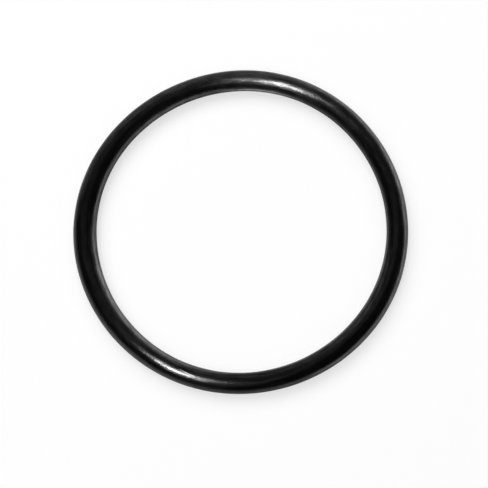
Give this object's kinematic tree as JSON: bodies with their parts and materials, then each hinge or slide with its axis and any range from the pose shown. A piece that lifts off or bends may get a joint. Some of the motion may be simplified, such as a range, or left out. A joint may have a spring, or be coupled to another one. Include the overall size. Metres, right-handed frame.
{
  "type": "rubber o-ring",
  "caption": "Plain black rubber sealing ring of round section, with a fine moulded parting ridge inside and outside.",
  "frame": {"origin": "centre of the ring, on its axis and halfway through its thickness", "axes": "+Z along the ring's axis, up from the surface it lies on; the ring is round, so +X and +Y are any two directions in its plane"},
  "size_m": [0.0552, 0.0552, 0.0036],
  "materials": {
    "rubber": "satin"
  },
  "bodies": {
    "root": {"o_ring": "rubber"}
  },
  "joints": []
}
